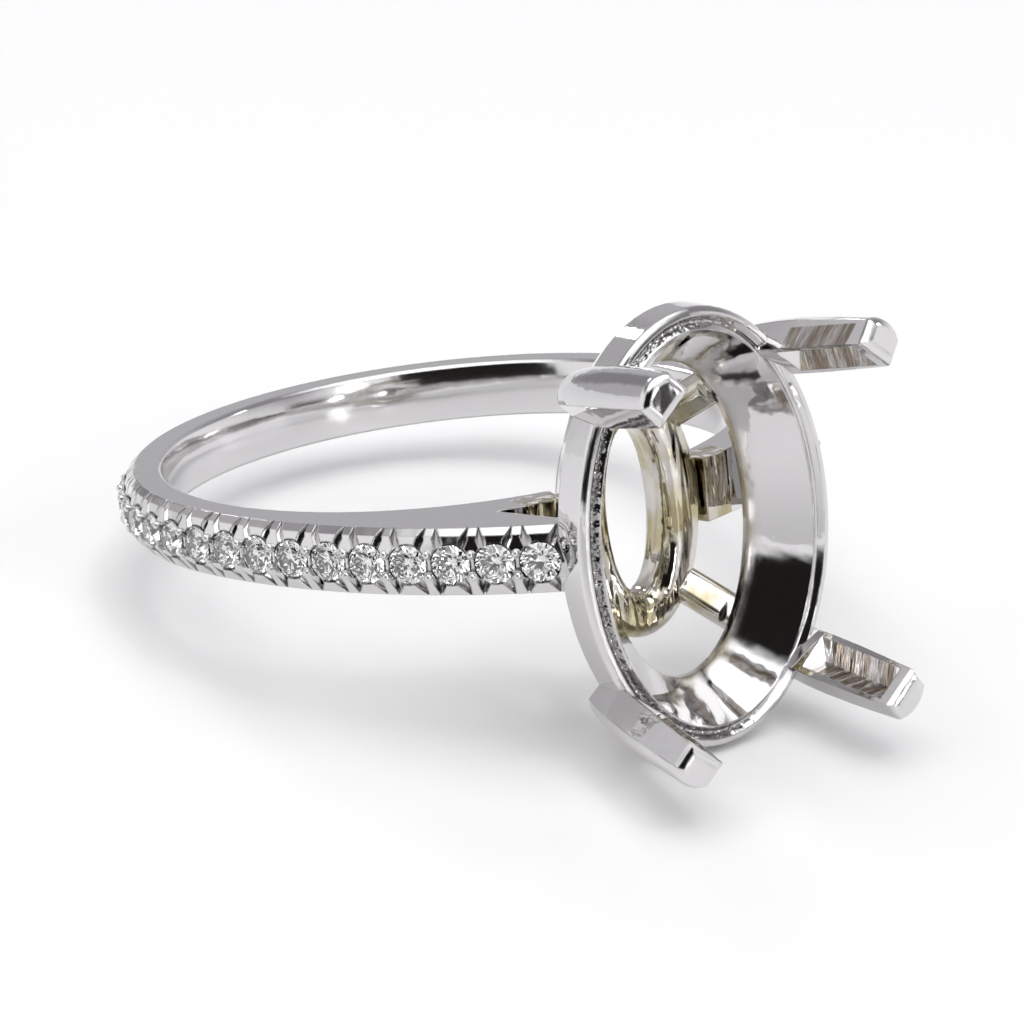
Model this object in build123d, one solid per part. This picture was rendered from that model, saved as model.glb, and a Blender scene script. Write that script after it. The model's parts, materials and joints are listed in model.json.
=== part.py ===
from build123d import *
import os
from math import asin, atan2, cos, degrees, pi, radians, sin

# A semi mount ring, in mm. It is modelled round its finger hole: X runs from the hole's
# middle to the head, Z along the finger. At the end it is laid down on a flat surface,
# where it leans on two claw tips and on the back of the band.

# Finger hole and band
finger_radius = 8.25
band_width = 1.76
band_thickness = 1.28
comfort_round = 0.12

# Shoulders, which leave the round band at the blend angle and meet the collar's wall
blend_angle = 83.0
shoulder_meets_below_rim = 0.8
cheek_height = 0.5
cheek_inset = 0.37
window_tip_height = 1.25
window_tip_angle = 25.5
bridge_height = 1.1
arch_thickness = 0.95

# Row of stones on each side
stones_per_side = 18
stone_diameter = 1.05
stone_gap = 0.15
first_stone_run = 0.67
table_share = 0.56
star_share = 0.74
crown_height = 0.17
girdle_height = 0.03
pavilion_depth = 0.45
lower_half_share = 0.25
stone_clearance = 0.025
girdle_below_metal = 0.15
stone_sides = 8

# Leaf-shaped cuts beside each stone, and the beads between the stones
leaf_spread = 0.38
leaf_root_spread = 0.217
leaf_root_from_middle = 0.36
leaf_half_width = 0.24
leaf_mouth_rise = 0.06
leaf_depth = 0.3
leaf_tip_drop = 0.6
bead_radius = 0.11
bead_from_middle = 0.3
bead_sink = 0.045
groove_width = 0.16
groove_half_length = 0.15
groove_depth = 0.16

# Collar: a large oval with an outer wall, a slope under it and a conical seat inside
rim_height = 4.0
rim_half_y = 4.0
rim_half_z = 5.87
rim_face = 0.6
collar_wall_height = 1.05
collar_slope_height = 0.7
collar_slope_inset = 0.42
seat_depth = 1.47
seat_taper = 1.0
rim_round = 0.2
rim_round_steps = 4
seat_groove_width = 0.34
seat_groove_floor = 0.08
seat_groove_depth = 0.15

# Base rail: a small oval that stands on the finger hole
rail_height = 1.0
rail_half_y = 2.35
rail_half_z = 3.8
rail_wall = 1.45
rail_round = 0.45
rail_foot_inset = 0.45

# Claws, and the legs that carry them from the base rail
claw_place = 45.2
claw_stand_off = 0.2
claw_facing = 50.0
claw_rise = 3.4
claw_splay_y = 0.49
claw_splay_z = 0.53
claw_width = 1.3
claw_inner_reach = 0.5
claw_outer_reach = 0.64
claw_crown = 0.3
claw_tip_round = 0.24
claw_foot_round = 0.3
recess_depth = 0.36
recess_margin = 0.15
recess_end_wall = 0.5
recess_mouth_spread = 2.0
leg_width = 0.95
leg_depth = 0.75
leg_round = 0.25
leg_place = 45.0
leg_inset = 0.45
leg_sink = 0.35

# Sections up a claw: share of its rise above the rim, share of its width, share of its outer reach
claw_sections = [
    (-0.42, 0.82, 0.8),
    (0.0, 1.0, 1.0),
    (0.5, 1.0, 0.94),
    (1.0, 0.9, 0.72),
]

# The lean is found between level and the steepest, by halving
steepest_lean = 45.0
lean_halvings = 16

join = 0.3
outer_radius = finger_radius + band_thickness
half_width = band_width / 2
rim_x = finger_radius + rim_height
wall_foot_x = rim_x - collar_wall_height
collar_back_x = wall_foot_x - collar_slope_height
rail_top_x = finger_radius + rail_height
stone_radius = stone_diameter / 2
stone_pitch = stone_diameter + stone_gap

os.makedirs("parts", exist_ok=True)


def on_circle(radius, angle):
    """The point at an angle in degrees from X, on a circle round the finger hole."""
    return radius * cos(radians(angle)), radius * sin(radians(angle))


def shoulder_curve():
    """Centre, radius and angle at the collar of the arc that carries on the band's circle."""
    end_x, end_y = rim_x - shoulder_meets_below_rim, rim_half_y
    along_x, along_y = on_circle(1, blend_angle)
    reach = end_x * along_x + end_y * along_y
    far = end_x**2 + end_y**2
    radius = (outer_radius**2 + far - 2 * outer_radius * reach) / (2 * (outer_radius - reach))
    centre_x, centre_y = on_circle(outer_radius - radius, blend_angle)
    end_angle = degrees(atan2(end_y - centre_y, end_x - centre_x))
    return (centre_x, centre_y), radius, end_angle


def outer_line(run):
    """Point and outward angle on the outer line, a run in mm back from the collar's wall."""
    (centre_x, centre_y), radius, end_angle = shoulder_curve()
    shoulder_run = radians(blend_angle - end_angle) * radius
    if run < shoulder_run:
        angle = end_angle + degrees(run / radius)
        x, y = on_circle(radius, angle)
        return centre_x + x, centre_y + y, angle
    angle = blend_angle + degrees((run - shoulder_run) / outer_radius)
    return *on_circle(outer_radius, angle), angle


def stone_run(number):
    """Distance along the outer line from the collar to a stone's middle."""
    return first_stone_run + number * stone_pitch


def line_plane(run):
    """Plane on the left side's outer line: its X runs back along the band and its Z outward."""
    x, y, angle = outer_line(run)
    out_x, out_y = on_circle(1, angle)
    return Plane(origin=(x, y, 0), x_dir=(-out_y, out_x, 0), z_dir=(out_x, out_y, 0))


def side_lines(side):
    """The window's and shoulder's lines on one side: side is 1 for left and -1 for right."""
    _, radius, end_angle = shoulder_curve()
    shoulder_run = radians(blend_angle - end_angle) * radius
    root_angle = degrees(asin((rail_half_y - join) / finger_radius))
    meet_x, meet_y, meet_angle = outer_line(0)
    thick_x, thick_y = on_circle(arch_thickness, meet_angle)
    points = [
        on_circle(finger_radius, root_angle),
        on_circle(finger_radius + bridge_height, root_angle),
        on_circle(finger_radius + window_tip_height, window_tip_angle),
        (meet_x - thick_x, meet_y - thick_y),
        outer_line(-join)[:2],
        outer_line(shoulder_run / 2)[:2],
        on_circle(outer_radius, blend_angle),
    ]
    points = [(x, side * y) for x, y in points]
    return [*Polyline(*points[:5]).edges(), ThreePointArc(*points[4:])], points[0], points[-1]


def ring_outline():
    """Band, shoulders and windows seen along the finger, open where the base rail stands."""
    left, left_root, left_blend = side_lines(1)
    right, right_root, right_blend = side_lines(-1)
    inner = ThreePointArc(left_root, (-finger_radius, 0), right_root)
    outer = ThreePointArc(left_blend, (-outer_radius, 0), right_blend)
    return make_face([inner, outer, *left, *right])


def plain_band():
    """Band and shoulders in one, with sloping cheeks along the outer line."""
    body = extrude(ring_outline(), half_width, both=True).solid()
    for end in (-1, 1):
        face = body.faces().sort_by(Axis.Z)[end]
        arcs = face.edges().filter_by(GeomType.CIRCLE)
        outer = [edge for edge in arcs if edge.radius > finger_radius + band_thickness / 2]
        body = body.chamfer(cheek_height, cheek_inset, outer, face)
    arcs = body.edges().filter_by(GeomType.CIRCLE)
    inner = [edge for edge in arcs if edge.radius < finger_radius + comfort_round]
    return body.fillet(comfort_round, inner)


def oval(x, half_y, half_z):
    """An upright oval face across the X axis."""
    return Plane(origin=(x, 0, 0), x_dir=(0, 1, 0), z_dir=(1, 0, 0)) * Ellipse(half_y, half_z)


def stacked(rows):
    """Straight-sided solid through ovals, each given as X, half Y and half Z."""
    return loft([oval(*row) for row in rows], ruled=True)


def rim_oval(x, inset):
    """Values of an oval inside the collar's outer wall."""
    return x, rim_half_y - inset, rim_half_z - inset


def seat_room(low_x):
    """The room inside the collar, from a low X up through its conical seat."""
    seat_foot = rim_face + seat_taper
    return stacked([
        rim_oval(low_x, seat_foot),
        rim_oval(rim_x - seat_depth, seat_foot),
        rim_oval(rim_x + join, rim_face - seat_taper * join / seat_depth),
    ])


def collar():
    """The large oval: outer wall, slope under it, conical seat and a worked groove on the rim."""
    rounding = [pi / 2 * step / rim_round_steps for step in range(rim_round_steps + 1)]
    outside = stacked(
        [rim_oval(collar_back_x, collar_slope_inset), rim_oval(wall_foot_x, 0)]
        + [rim_oval(rim_x - rim_round * (1 - sin(turn)), rim_round * (1 - cos(turn))) for turn in rounding]
    )
    middle = (rim_round + rim_face) / 2
    flat = seat_groove_floor / 2
    wide = seat_groove_width - flat
    low_x, high_x = rim_x - seat_groove_depth, rim_x + seat_groove_depth
    outer_side = stacked([rim_oval(low_x, middle - flat), rim_oval(high_x, middle - wide)])
    inner_side = stacked([rim_oval(low_x, middle + flat), rim_oval(high_x, middle + wide)])
    return (outside - seat_room(collar_back_x - join) - (outer_side - inner_side)).solid()


def base_rail():
    """The small oval on the finger hole, rounded on top."""
    low_x = finger_radius - rail_half_y
    foot_y, foot_z = rail_half_y - rail_foot_inset, rail_half_z - rail_foot_inset
    outside = stacked([
        (low_x, foot_y, foot_z),
        (finger_radius, foot_y, foot_z),
        (rail_top_x, rail_half_y, rail_half_z),
    ])
    opening_y, opening_z = rail_half_y - rail_wall, rail_half_z - rail_wall
    opening = stacked([(low_x - join, opening_y, opening_z), (rail_top_x + join, opening_y, opening_z)])
    rail = (outside - opening).solid()
    top = rail.faces().sort_by(Axis.X)[-1]
    rail = rail.fillet(rail_round, top.edges())
    return rail.cut(Cylinder(finger_radius, 4 * rail_half_z))


def flipped(vector, side_y, side_z):
    """A vector taken to the left or right side, and to the upper or lower one."""
    return Vector(vector.X, side_y * vector.Y, side_z * vector.Z)


def claw_frame(side_y, side_z):
    """Middle of a claw at the rim, the direction its outer face looks in and the claw's way up."""
    across, up = on_circle(1, claw_place)
    outward = Vector(0, across / rim_half_y, up / rim_half_z).normalized()
    on_rim = Vector(rim_x, rim_half_y * across, rim_half_z * up) + outward * claw_stand_off
    facing = Vector(0, *on_circle(1, claw_facing))
    splay = Vector(claw_rise, claw_splay_y, claw_splay_z)
    return [flipped(vector, side_y, side_z) for vector in (on_rim, facing, splay)]


def claw_plane(side_y, side_z, share):
    """Plane across a claw, a share of its rise above the rim: its Y points outward."""
    on_rim, facing, splay = claw_frame(side_y, side_z)
    axis = splay.normalized()
    side = facing.cross(axis).normalized()
    return Plane(origin=on_rim + splay * share, x_dir=side, z_dir=axis)


def claw_section(share, width_share, reach_share):
    """Section of a claw where it is a share of its rise above the rim: flat inside, crowned outside."""
    half, reach = claw_width * width_share / 2, claw_outer_reach * reach_share
    shoulder_y = reach - claw_crown * width_share
    lines = [
        Line((-half, -claw_inner_reach), (half, -claw_inner_reach)),
        Line((half, -claw_inner_reach), (half, shoulder_y)),
        ThreePointArc((half, shoulder_y), (0, reach), (-half, shoulder_y)),
        Line((-half, shoulder_y), (-half, -claw_inner_reach)),
    ]
    return make_face(lines)


def claw(side_y, side_z):
    """One claw with a rounded tip and foot, without its recess."""
    faces = [claw_plane(side_y, side_z, row[0]) * claw_section(*row) for row in claw_sections]
    body = loft(faces).solid()
    ends = body.faces().sort_by(Axis.X)
    body = body.fillet(claw_tip_round, ends[-1].edges())
    foot_face = body.faces().sort_by(Axis.X)[0]
    return body.fillet(claw_foot_round, foot_face.edges())


def claw_recess(side_y, side_z):
    """The grooved cut in a claw's inner face, from just above the rim to short of the tip."""
    splay = claw_frame(side_y, side_z)[2]
    plane = claw_plane(side_y, side_z, 1)
    half = claw_width / 2 - recess_margin
    widening = recess_mouth_spread * half
    valley_y = recess_depth - claw_inner_reach
    mouth_y = valley_y - recess_depth * widening / half
    low, high = claw_inner_reach - splay.length, -recess_end_wall
    corners = [(0, valley_y, low), (0, valley_y, high)]
    for x in (-widening, widening):
        corners += [(x, mouth_y, low - claw_inner_reach), (x, mouth_y, high)]
    return plane * ConvexPolyhedron(corners)


def leg(side_y, side_z):
    """The strut from the base rail to a claw's foot."""
    on_rim, facing, splay = claw_frame(side_y, side_z)
    top = on_rim + splay * claw_sections[0][0] + splay.normalized() * leg_width
    across, up = on_circle(1, leg_place)
    foot_y, foot_z = (rail_half_y - leg_inset) * across, (rail_half_z - leg_inset) * up
    foot = flipped(Vector(rail_top_x - leg_sink, foot_y, foot_z), side_y, side_z)
    axis = (top - foot).normalized()
    side = facing.cross(axis).normalized()
    section = RectangleRounded(leg_width, leg_depth, leg_round)
    return extrude(Plane(origin=foot, x_dir=side, z_dir=axis) * section, (top - foot).length).solid()


def stone():
    """A round brilliant: table, crown, girdle and pavilion, with its girdle's top at Z = 0."""
    table = stone_radius * table_share
    star = stone_radius * star_share
    half_turn = pi / stone_sides
    corner = cos(half_turn)
    crown_slope = crown_height / (stone_radius - table)
    star_height = crown_height - (star * corner - table) * crown_slope
    lower = stone_radius * lower_half_share
    lower_height = -girdle_height - pavilion_depth * (1 - lower * corner / stone_radius)
    points = [(0, 0, -girdle_height - pavilion_depth)]
    for step in range(2 * stone_sides):
        x, y = cos(step * half_turn), sin(step * half_turn)
        points += [(stone_radius * x, stone_radius * y, z) for z in (0, -girdle_height)]
        ring = [(table, crown_height)] if step % 2 == 0 else [(star, star_height), (lower, lower_height)]
        points += [(radius * x, radius * y, z) for radius, z in ring]
    return ConvexPolyhedron(points).solid()


def stone_place(number):
    """Plane at a left stone's girdle."""
    return line_plane(stone_run(number)).offset(-girdle_below_metal)


def seat_cutter():
    """The pocket for one stone, a clearance larger than it all round."""
    wide = stone_radius + stone_clearance
    deep = girdle_height + pavilion_depth + 2 * stone_clearance
    low = girdle_height + stone_clearance
    profile = Polyline((0, -deep), (wide, -low), (wide, band_thickness), (0, band_thickness), close=True)
    return revolve(Rot(90, 0, 0) * make_face(profile), Axis.Z).solid()


def leaf_cutters():
    """Four leaf-shaped cuts beside one stone, each a notch that ends in a point on the band's side."""
    cutters = []
    for edge in (-1, 1):
        for way in (-1, 1):
            root_x, root_y = way * leaf_root_spread * stone_pitch, edge * leaf_root_from_middle
            points = [
                (way * leaf_spread * stone_pitch, edge * (half_width + stone_clearance), -leaf_tip_drop),
                (root_x, root_y, -leaf_depth),
                (root_x - leaf_half_width, root_y, leaf_mouth_rise),
                (root_x + leaf_half_width, root_y, leaf_mouth_rise),
                (root_x, edge * half_width, cheek_height),
            ]
            cutters.append(ConvexPolyhedron(points).solid())
    return cutters


def row_cutters():
    """Everything that is cut for one row: seats, leaves and the grooves between stones."""
    cutters = []
    seat, leaves = seat_cutter(), leaf_cutters()
    groove = Box(groove_width, 2 * groove_half_length, 2 * groove_depth)
    for number in range(stones_per_side):
        plane = line_plane(stone_run(number))
        cutters.append(stone_place(number) * seat)
        cutters += [plane * leaf for leaf in leaves]
        if number:
            cutters.append(line_plane(stone_run(number - 0.5)) * groove)
    return cutters


def row_beads():
    """Beads of metal that hold the stones, two in each gap between neighbours."""
    beads = []
    for number in range(1, stones_per_side + 1):
        plane = line_plane(stone_run(number - 0.5))
        for edge in (-1, 1):
            place = Pos(0, edge * bead_from_middle, -bead_sink)
            beads.append(plane * place * Sphere(bead_radius))
    return beads


def both_sides(shapes):
    """The left side's shapes and their mirror images."""
    return shapes + [shape.mirror(Plane.XZ) for shape in shapes]


def band():
    """The whole band and its shoulders, worked for both rows of stones."""
    return plain_band().fuse(*both_sides(row_beads())).cut(*both_sides(row_cutters()))


def head():
    """Base rail, legs, collar and claws, with room for the first stones beside the collar."""
    sides = [(y, z) for y in (-1, 1) for z in (-1, 1)]
    body = base_rail().fuse(*[leg(*pair) for pair in sides])
    body = body.cut(seat_room(collar_back_x - join)).fuse(collar(), *[claw(*pair) for pair in sides])
    first_seats = both_sides([stone_place(0) * seat_cutter()])
    return body.cut(*[claw_recess(*pair) for pair in sides], *first_seats)


def mount():
    """The whole metal of the ring as one solid, still round its finger hole."""
    return head().fuse(band())


def lowest(shape, lean):
    """How low a shape reaches when the ring's head is raised by an angle."""
    return (Rot(0, -lean, 0) * shape).bounding_box().min.Z


def resting_lean():
    """The angle at which the band's back and the lower claws reach equally low."""
    back, lower_claw = plain_band(), claw(1, -1)
    flat, steep = 0.0, steepest_lean
    for _ in range(lean_halvings):
        lean = (flat + steep) / 2
        if lowest(lower_claw, lean) < lowest(back, lean):
            flat = lean
        else:
            steep = lean
    return lean


def laid_down(shapes):
    """The shapes leaning at rest, with the whole's middle over the origin and its foot at Z = 0."""
    lean = resting_lean()
    leaning = [Rot(0, -lean, 0) * shape for shape in shapes]
    box = leaning[0].bounding_box()
    return [Pos(-box.center().X, -box.center().Y, -box.min.Z) * shape for shape in leaning]


def build():
    """Every piece by name, where it lies."""
    pieces = {"ring_mount": mount()}
    gem = stone()
    for number in range(stones_per_side):
        placed = stone_place(number) * gem
        pieces[f"pave_stone_left_{number + 1:02d}"] = placed
        pieces[f"pave_stone_right_{number + 1:02d}"] = placed.mirror(Plane.XZ)
    return dict(zip(pieces, laid_down(list(pieces.values()))))


for name, shape in build().items():
    export_step(shape, f"parts/{name}.step")
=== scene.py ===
import json
from math import atan2, cos, radians, sin

import bpy
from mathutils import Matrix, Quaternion, Vector

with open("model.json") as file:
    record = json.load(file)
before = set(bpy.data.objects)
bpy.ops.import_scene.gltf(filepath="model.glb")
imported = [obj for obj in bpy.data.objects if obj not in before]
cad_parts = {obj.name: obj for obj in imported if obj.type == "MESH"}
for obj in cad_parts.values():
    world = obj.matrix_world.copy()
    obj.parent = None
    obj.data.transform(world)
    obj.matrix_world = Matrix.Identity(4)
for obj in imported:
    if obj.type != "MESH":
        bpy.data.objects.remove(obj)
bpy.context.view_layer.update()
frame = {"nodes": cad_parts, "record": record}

MM = 0.001

# The photograph's camera, round a point in the row frame
CAMERA_AIM = (0.874 * MM, -1.141 * MM, 2.915 * MM)
CAMERA_AZIMUTH = 55.441
CAMERA_ELEVATION = 24.898
CAMERA_ROLL = 0.122
CAMERA_DISTANCE = 93.61 * MM
CAMERA_LENS = 119.07
CAMERA_SHIFT = (0.00735, 0.03204)
CLIP_NEAR, CLIP_FAR = 0.01, 20.0

# Ring frame, in mm: X towards the head, Z along the finger, origin in the finger hole's middle
RIM_X = 12.25
RIM_HALF_Y, RIM_HALF_Z = 4.0, 5.87
BORE_RADIUS = 8.25
RAIL_TOP_X = 9.25

# Where the seat's cone ends, and how widely that edge and the others are rounded
SEAT_FOOT_LOW, SEAT_FOOT_HIGH = 10.43, 11.08
SEAT_FOOT_INSET_LOW, SEAT_FOOT_INSET_HIGH = 1.25, 1.7
FOOT_ROUND, EDGE_ROUND = 0.35, 0.06
EDGE_SAMPLES = 4

# The groove worked round the rim's right half
GROOVE_BELOW, GROOVE_ABOVE = 0.19, 0.06
GROOVE_INSET_LOW, GROOVE_INSET_HIGH = 0.25, 0.55
GROOVE_END_Y, GROOVE_FULL_Y = 1.5, -0.5

# Claws: middle at the rim, how much they splay, the way they face, their recess and filed side
CLAW_Y, CLAW_Z = 2.983, 4.279
CLAW_SPLAY_Y, CLAW_SPLAY_Z = 0.1441, 0.1559
CLAW_FACING = 50.0
RECESS_LOW_X, RECESS_HIGH_X = 12.9, 15.12
RECESS_FLOOR, RECESS_MOUTH = -0.16, -0.10
RECESS_INNER, RECESS_OUTER = 0.48, 0.52
SIDE_LOW, SIDE_HIGH = 0.54, 0.57
SIDE_FULL, SIDE_END = 0.08, 0.14

# Thin plating on the rail and legs, darkened with painted shade under the head: from and to these
# heights, and this far to each side
THIN_START, THIN_FULL = 7.9, 8.3
THIN_FADING, THIN_END = 10.2, 11.2
THIN_HALF_Y = 3.3

# Metal: plated, thinly plated and darkened with painted shade, with painted shade in the rough claws'
# recesses, and painted shade in the groove, on edges and in corners
SILVERY = (0.665, 0.655, 0.66, 1)
SHADED_GOLD = (0.42, 0.37, 0.235, 1)
RECESS_SHADE = (0.31, 0.26, 0.21, 1)
CREASE_SHADE = (0.10, 0.095, 0.09, 1)

# Roughness: polish between two limits, recesses and the finger hole's wall
POLISH_LOW, POLISH_HIGH = 0.02, 0.07
RECESS_ROUGH, BORE_ROUGH = 0.22, 0.12

# Depths of the metal's relief, in mm
BARREL, WAVES, CUTS, FILING, CHATTER = 0.2, 0.022, 0.1, 0.16, 0.12
WAVE_STRENGTH = 0.6

# Stones: two tints, the most roughness that dust gives, and diamond's refractive index
CLEAR = (1, 1, 1, 1)
FAINT_GREY = (0.95, 0.95, 0.965, 1)
DUSTY = 0.04
STONE_IOR = 2.42

# Studio
FLOOR_SIZE = 4.0
FLOOR_COLOUR = (0.94, 0.938, 0.945)
FLOOR_ROUGH = 0.3
WALL_COLOUR = (0.80, 0.795, 0.805)
SKY_STRENGTH = 1.35

# Patches between two azimuths and two elevations: softness in degrees, colour
SQUARE_PATCHES = [
    ((115, 245), (18, 75), 14, (0.24, 0.235, 0.245)),  # back wall
    ((235, 338), (34, 72), 8, (0.21, 0.205, 0.215)),  # left wall
    ((8, 78), (4, 52), 3, (0.012, 0.011, 0.01)),  # photographer
    ((72, 126), (4, 17), 4, (0.05, 0.047, 0.045)),  # dark table
]

# Round patches, laid over the others: azimuth, elevation, core and edge in degrees, colour
ROUND_PATCHES = [
    (-105, 8, 28, 62, (0.40, 0.395, 0.405)),  # left side
    (-98, 12, 7, 15, (0.22, 0.215, 0.225)),  # grey panel
    (40, 85, 22, 42, (1.6, 1.6, 1.6)),  # ceiling
    (-96, 27, 2.5, 4.5, (14, 14, 14)),  # lamp on the left
    (97, 24, 2.5, 4.5, (14, 14, 14)),  # lamp on the right
    (86, 9, 2.5, 4.5, (9, 9, 9)),  # low lamp
    (104, 12, 2.0, 4.0, (9, 9, 9)),  # second low lamp
    (105, 66, 3, 6, (9, 9, 9)),  # high lamp
    (158, 24, 2.5, 4.5, (8, 8, 8)),  # lamp at the back
]

finger_hole = next(m for m in frame["record"]["mounts"] if m["name"] == "finger_bore")
hole_place = Vector(finger_hole["pos_m"])
lean = atan2(-finger_hole["axis"][0], finger_hole["axis"][2])


class Graph:
    """A node tree being written: each call adds a node, feeds it and gives its first output."""

    def __init__(self, tree):
        self.nodes, self.links = tree.nodes, tree.links

    def add(self, kind, inputs=(), output=0, **settings):
        node = self.nodes.new("ShaderNode" + kind)
        for key, value in settings.items():
            setattr(node, key, value)
        for key, value in dict(inputs).items():
            self.feed(node.inputs[key], value)
        return node.outputs[output]

    def feed(self, socket, value):
        if isinstance(value, bpy.types.NodeSocket):
            self.links.new(value, socket)
        else:
            socket.default_value = value

    def maths(self, operation, *values):
        return self.add("Math", dict(enumerate(values)), operation=operation)

    def product(self, *values):
        result = values[0]
        for value in values[1:]:
            result = self.maths("MULTIPLY", result, value)
        return result

    def length(self, first, second):
        """Length of the sum of two sides at a right angle."""
        total = self.maths("ADD", self.product(first, first), self.product(second, second))
        return self.maths("SQRT", total)

    def dot(self, first, second):
        return self.add("VectorMath", {0: first, 1: second}, output="Value", operation="DOT_PRODUCT")

    def ramp(self, value, low, high, out_low=0.0, out_high=1.0):
        limits = {0: value, 1: low, 2: high, 3: out_low, 4: out_high}
        return self.add("MapRange", limits, interpolation_type="SMOOTHSTEP")

    def between(self, value, low, high, soft):
        """One between two limits, falling softly to zero round them."""
        rise = self.ramp(value, low - soft, low + soft)
        return self.product(rise, self.ramp(value, high + soft, high - soft))

    def split(self, vector):
        node = self.nodes.new("ShaderNodeSeparateXYZ")
        self.feed(node.inputs[0], vector)
        return node.outputs

    def mix(self, factor, first, second):
        return self.add("Mix", {0: factor, 6: first, 7: second}, output=2, data_type="RGBA")

    def blend(self, factor, first, second):
        return self.add("Mix", {0: factor, 2: first, 3: second}, output=0)

    def noise(self, place, scale, detail, distortion=0.0):
        inputs = {0: place, "Scale": scale, "Detail": detail, "Distortion": distortion}
        return self.add("TexNoise", inputs)

    def stretched(self, place, *scales):
        return self.add("Mapping", {0: place, "Scale": scales})

    def bump(self, height, strength, depth, normal, **settings):
        """A normal disturbed by a height, to a depth in mm."""
        inputs = {"Height": height, "Strength": strength, "Distance": depth * MM, "Normal": normal}
        return self.add("Bump", inputs, **settings)


def direction(azimuth, elevation):
    """Unit vector: azimuth 0 points along -Y and 90 along +X."""
    turn, rise = radians(azimuth), radians(elevation)
    return Vector((sin(turn) * cos(rise), -cos(turn) * cos(rise), sin(rise)))


def material(name):
    made = bpy.data.materials.new(name)
    made.use_nodes = True
    return made, Graph(made.node_tree), made.node_tree.nodes["Principled BSDF"]


def ring_place(graph):
    """Place in the ring frame, in mm."""
    here = graph.add("TexCoord", output="Object")
    moved = graph.add("VectorMath", {0: here, 1: hole_place}, operation="SUBTRACT")
    return graph.add("Mapping", {0: moved, "Rotation": (0, lean, 0), "Scale": (1 / MM,) * 3})


def rim_inset(graph, y, z):
    """About how far inside the collar's outer oval a place is, in mm."""
    y_share = graph.maths("DIVIDE", y, RIM_HALF_Y)
    z_share = graph.maths("DIVIDE", z, RIM_HALF_Z)
    share = graph.length(y_share, z_share)
    beyond = graph.maths("SUBTRACT", graph.maths("DIVIDE", 1.0, share), 1.0)
    return graph.product(beyond, graph.length(y, z))


def claw_place(graph, x, y, z):
    """Where a place is in its claw, in mm: how far outward from the claw's middle and to its side."""
    up = graph.maths("SUBTRACT", x, RIM_X)
    middle_y = graph.maths("MULTIPLY_ADD", up, CLAW_SPLAY_Y, CLAW_Y)
    middle_z = graph.maths("MULTIPLY_ADD", up, CLAW_SPLAY_Z, CLAW_Z)
    off_y = graph.maths("SUBTRACT", graph.maths("ABSOLUTE", y), middle_y)
    off_z = graph.maths("SUBTRACT", graph.maths("ABSOLUTE", z), middle_z)
    across, upward = cos(radians(CLAW_FACING)), sin(radians(CLAW_FACING))
    outward = graph.maths("ADD", graph.product(off_y, across), graph.product(off_z, upward))
    aside = graph.maths("SUBTRACT", graph.product(off_z, across), graph.product(off_y, upward))
    return outward, aside


def recess_mask(graph, x, y, z):
    """The claws' recesses, and the upper left claw's side, which is filed flat as well."""
    outward, aside = claw_place(graph, x, y, z)
    along = graph.between(x, RECESS_LOW_X, RECESS_HIGH_X, 0.05)
    recess = graph.product(
        along,
        graph.ramp(outward, RECESS_MOUTH, RECESS_FLOOR),
        graph.ramp(graph.maths("ABSOLUTE", aside), RECESS_OUTER, RECESS_INNER),
    )
    side = graph.product(
        along,
        graph.ramp(aside, SIDE_LOW, SIDE_HIGH),
        graph.ramp(outward, SIDE_END, SIDE_FULL),
        graph.maths("GREATER_THAN", y, 0.0),
        graph.maths("GREATER_THAN", z, 0.0),
    )
    return graph.maths("MAXIMUM", recess, side)


def plating_and_shade_mask(graph, place, x, y, bore):
    """The rail and legs, where the plating is thin and painted shade darkens them under the head,
    apart from the finger hole's wall.
    """
    under_head = graph.product(
        graph.ramp(x, THIN_START, THIN_FULL), graph.ramp(x, THIN_END, THIN_FADING)
    )
    inside = graph.maths("LESS_THAN", graph.maths("ABSOLUTE", y), THIN_HALF_Y)
    cloud = graph.ramp(graph.noise(place, 0.9, 3.0), 0.35, 0.65, 0.25, 1.0)
    return graph.product(under_head, inside, cloud, graph.blend(bore, 1.0, 0.1))


def groove_mask(graph, x, y, inset):
    return graph.product(
        graph.between(x, RIM_X - GROOVE_BELOW, RIM_X + GROOVE_ABOVE, 0.03),
        graph.between(inset, GROOVE_INSET_LOW, GROOVE_INSET_HIGH, 0.04),
        graph.ramp(y, GROOVE_END_Y, GROOVE_FULL_Y),
    )


def rounded_edges(graph, x, inset):
    """A normal that rounds the edges: widely where the seat's cone ends, narrowly elsewhere."""
    foot = graph.product(
        graph.between(x, SEAT_FOOT_LOW, SEAT_FOOT_HIGH, 0.05),
        graph.between(inset, SEAT_FOOT_INSET_LOW, SEAT_FOOT_INSET_HIGH, 0.05),
    )
    radius = graph.blend(foot, EDGE_ROUND * MM, FOOT_ROUND * MM)
    return graph.add("Bevel", {"Radius": radius}, samples=EDGE_SAMPLES)


def edge_shade_mask(graph, place, edge):
    """Painted shade on edges and in corners, where the rounded normal turns from the true one, in
    patches.
    """
    true_facing = graph.add("NewGeometry", output="Normal")
    turned = graph.ramp(graph.dot(edge, true_facing), 0.995, 0.9)
    patchy = graph.ramp(graph.noise(place, 1.1, 2.0), 0.42, 0.6)
    return graph.product(turned, graph.blend(patchy, 0.25, 0.85))


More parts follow.
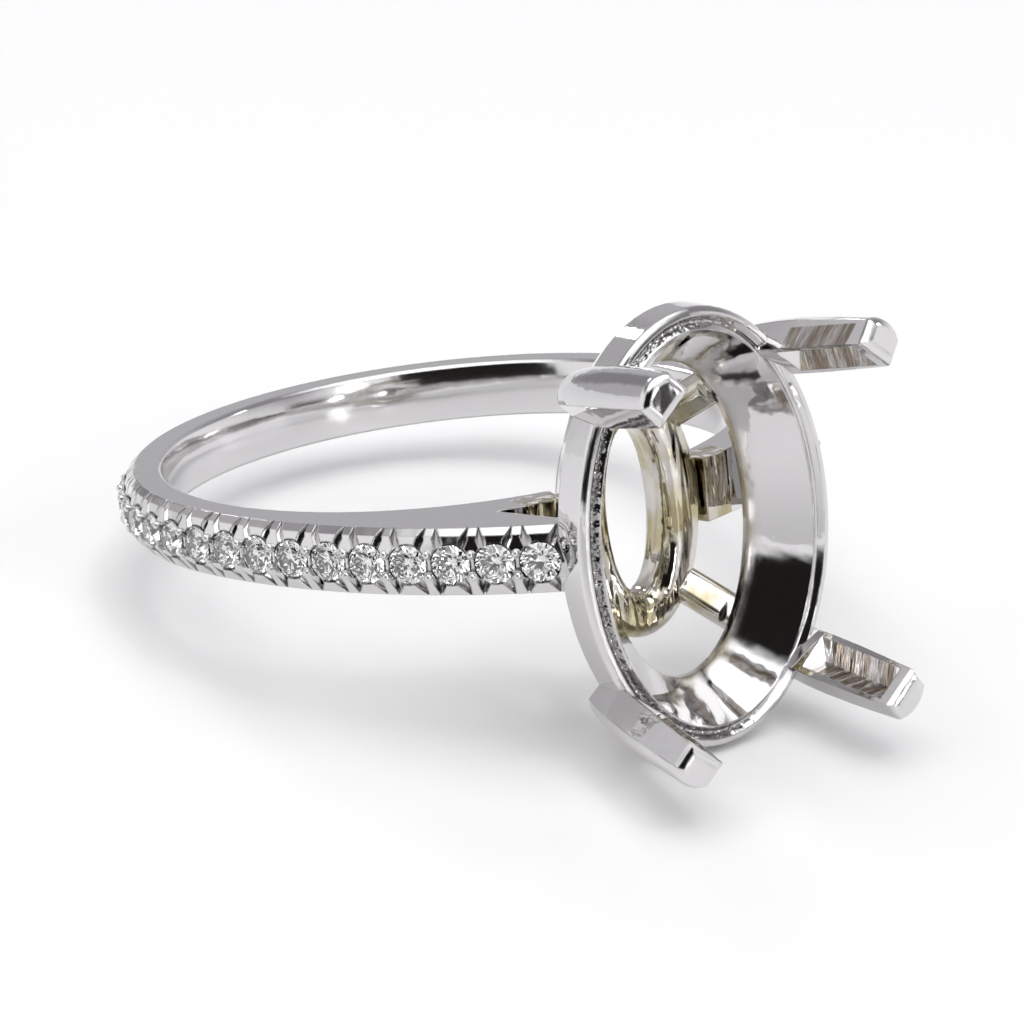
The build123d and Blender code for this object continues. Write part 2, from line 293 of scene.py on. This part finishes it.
def gold():
    """Polished white gold, with cut recesses, a worked groove and a filed rail."""
    made, graph, shader = material("white_gold")
    place = ring_place(graph)
    x, y, z = graph.split(place)
    inset = rim_inset(graph, y, z)
    bore = graph.ramp(graph.length(x, y), BORE_RADIUS + 0.06, BORE_RADIUS + 0.02)
    recess = recess_mask(graph, x, y, z)
    plating_and_shade = plating_and_shade_mask(graph, place, x, y, bore)
    groove = groove_mask(graph, x, y, inset)
    edge = rounded_edges(graph, x, inset)
    # the recess is cut across the claw
    cuts = graph.noise(graph.stretched(place, 5.0, 0.7, 0.7), 1.0, 2.0)

    # warm tint of the thin plating, darkened as painted shade under the head
    colour = graph.mix(plating_and_shade, SILVERY, SHADED_GOLD)
    # painted shade in the claws' recesses and on the filed side, patchy along the cuts
    shaded_recess = graph.product(recess, graph.ramp(cuts, 0.38, 0.62, 0.3, 1.0))
    colour = graph.mix(shaded_recess, colour, RECESS_SHADE)
    # painted shade in the rim's groove
    colour = graph.mix(graph.product(groove, 0.6), colour, CREASE_SHADE)
    # painted shade on edges and in corners
    colour = graph.mix(edge_shade_mask(graph, place, edge), colour, CREASE_SHADE)
    graph.feed(shader.inputs["Base Color"], colour)
    shader.inputs["Metallic"].default_value = 1.0

    scratches = graph.noise(graph.stretched(place, 3.0, 3.0, 40.0), 3.0, 4.0)
    polish = graph.ramp(scratches, 0.3, 0.7, POLISH_LOW, POLISH_HIGH)
    rough = graph.blend(bore, graph.blend(recess, polish, RECESS_ROUGH), BORE_ROUGH)
    graph.feed(shader.inputs["Roughness"], rough)

    # the finger hole's wall is slightly barrelled, and the polish leaves faint waves
    surface = graph.bump(graph.product(z, z), bore, BARREL, edge, invert=True)
    surface = graph.bump(graph.noise(place, 1.1, 2.0), WAVE_STRENGTH, WAVES, surface)
    surface = graph.bump(cuts, recess, CUTS, surface)
    # file marks along the base rail, and the tool's chatter in the rim's groove
    on_rail = graph.product(plating_and_shade, graph.ramp(x, RAIL_TOP_X + 0.15, RAIL_TOP_X))
    filed = graph.noise(graph.stretched(place, 2.4, 2.4, 0.3), 1.0, 1.0, 0.3)
    surface = graph.bump(filed, on_rail, FILING, surface)
    surface = graph.bump(graph.noise(place, 5.0, 1.0), groove, CHATTER, surface)
    graph.feed(shader.inputs["Normal"], surface)
    return made


def gem():
    """Clear stone, with a trace of tint and of dust that differs from stone to stone."""
    made, graph, shader = material("pave_stone")
    place = ring_place(graph)
    tint = graph.mix(graph.ramp(graph.noise(place, 0.5, 1.0), 0.35, 0.65), CLEAR, FAINT_GREY)
    graph.feed(shader.inputs["Base Color"], tint)
    dust = graph.ramp(graph.noise(place, 6.0, 3.0), 0.5, 0.8, 0.0, DUSTY)
    graph.feed(shader.inputs["Roughness"], dust)
    shader.inputs["Transmission Weight"].default_value = 1.0
    shader.inputs["IOR"].default_value = STONE_IOR
    return made


def studio():
    """The studio's walls and ceiling, as soft patches of light and dark."""
    world = bpy.data.worlds.new("studio")
    bpy.context.scene.world = world
    world.use_nodes = True
    graph = Graph(world.node_tree)
    way = graph.add("TexCoord", output="Generated")
    x, y, z = graph.split(way)
    turn = graph.maths("DEGREES", graph.maths("ARCTAN2", x, graph.product(y, -1.0)))
    full_turn = graph.maths("WRAP", turn, 360.0, 0.0)
    rise = graph.maths("DEGREES", graph.maths("ARCSINE", z))
    colour = (*WALL_COLOUR, 1)
    for azimuths, elevations, soft, tone in SQUARE_PATCHES:
        in_turn = graph.between(full_turn, *azimuths, soft)
        in_rise = graph.between(rise, *elevations, soft)
        colour = graph.mix(graph.product(in_turn, in_rise), colour, (*tone, 1))
    for azimuth, elevation, core, edge, tone in ROUND_PATCHES:
        near = graph.dot(way, direction(azimuth, elevation))
        factor = graph.ramp(near, cos(radians(edge)), cos(radians(core)))
        colour = graph.mix(factor, colour, (*tone, 1))
    background = graph.nodes["Background"]
    graph.feed(background.inputs["Color"], colour)
    background.inputs["Strength"].default_value = SKY_STRENGTH


def ground():
    bpy.ops.mesh.primitive_plane_add(size=FLOOR_SIZE)
    floor = bpy.context.object
    floor.name = "floor"
    made, graph, shader = material("floor")
    shader.inputs["Base Color"].default_value = (*FLOOR_COLOUR, 1)
    shader.inputs["Roughness"].default_value = FLOOR_ROUGH
    floor.data.materials.append(made)


def camera():
    made = bpy.data.objects.new("camera", bpy.data.cameras.new("camera"))
    bpy.context.scene.collection.objects.link(made)
    bpy.context.scene.camera = made
    back = direction(CAMERA_AZIMUTH, CAMERA_ELEVATION)
    made.location = Vector(CAMERA_AIM) + back * CAMERA_DISTANCE
    made.rotation_mode = "QUATERNION"
    roll = Quaternion((0, 0, 1), radians(CAMERA_ROLL))
    made.rotation_quaternion = (-back).to_track_quat("-Z", "Y") @ roll
    made.data.lens = CAMERA_LENS
    made.data.shift_x, made.data.shift_y = CAMERA_SHIFT
    made.data.clip_start, made.data.clip_end = CLIP_NEAR, CLIP_FAR


metal, clear = gold(), gem()
for name, node in frame["nodes"].items():
    node.data.materials.clear()
    node.data.materials.append(metal if name == "ring_mount" else clear)

ground()
studio()
camera()
bpy.context.scene.view_settings.view_transform = "Standard"
